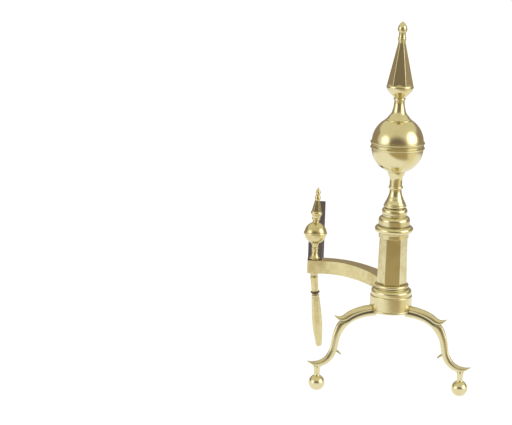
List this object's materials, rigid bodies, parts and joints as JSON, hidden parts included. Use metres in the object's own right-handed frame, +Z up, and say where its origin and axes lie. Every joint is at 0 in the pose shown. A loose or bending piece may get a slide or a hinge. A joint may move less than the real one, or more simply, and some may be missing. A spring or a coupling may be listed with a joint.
{
  "type": "andiron",
  "caption": "Brass steeple-top andiron with spurred cabriole legs, ball feet, a curved arm to a log stop with a pendant drop, and a wrought-iron billet bar.",
  "frame": {"origin": "on the hearth, under the middle of the whole andiron's box", "axes": "+Z up, +Y from the brass front towards the fire along the iron bar, +X to the right as seen from the room"},
  "size_m": [0.2654, 0.7238, 0.5651],
  "materials": {
    "brass": "polished, lightly worn",
    "iron": "forged, dark and dull",
    "fixings": "plain, dull"
  },
  "bodies": {
    "root": {"acorn_steeple": "brass", "trumpet_neck": "brass", "ball_upper_half": "brass", "ball_lower_half": "brass", "lower_neck": "brass", "stepped_collar": "brass", "hex_column": "brass", "base_moulding": "brass", "base_drum": "brass", "leg_hub": "iron", "left_leg": "brass", "right_leg": "brass", "leg_pins": "fixings", "left_ball_foot": "brass", "right_ball_foot": "brass", "tie_rod": "fixings", "rod_nut": "fixings", "rod_washer": "fixings", "billet_bar": "iron", "arm_casing": "brass", "arm_rivets": "brass", "log_stop_steeple": "brass", "log_stop_ball": "brass", "log_stop_stem": "brass", "log_stop_stud": "fixings", "drop_collar": "brass", "pendant_drop": "brass"}
  },
  "joints": []
}
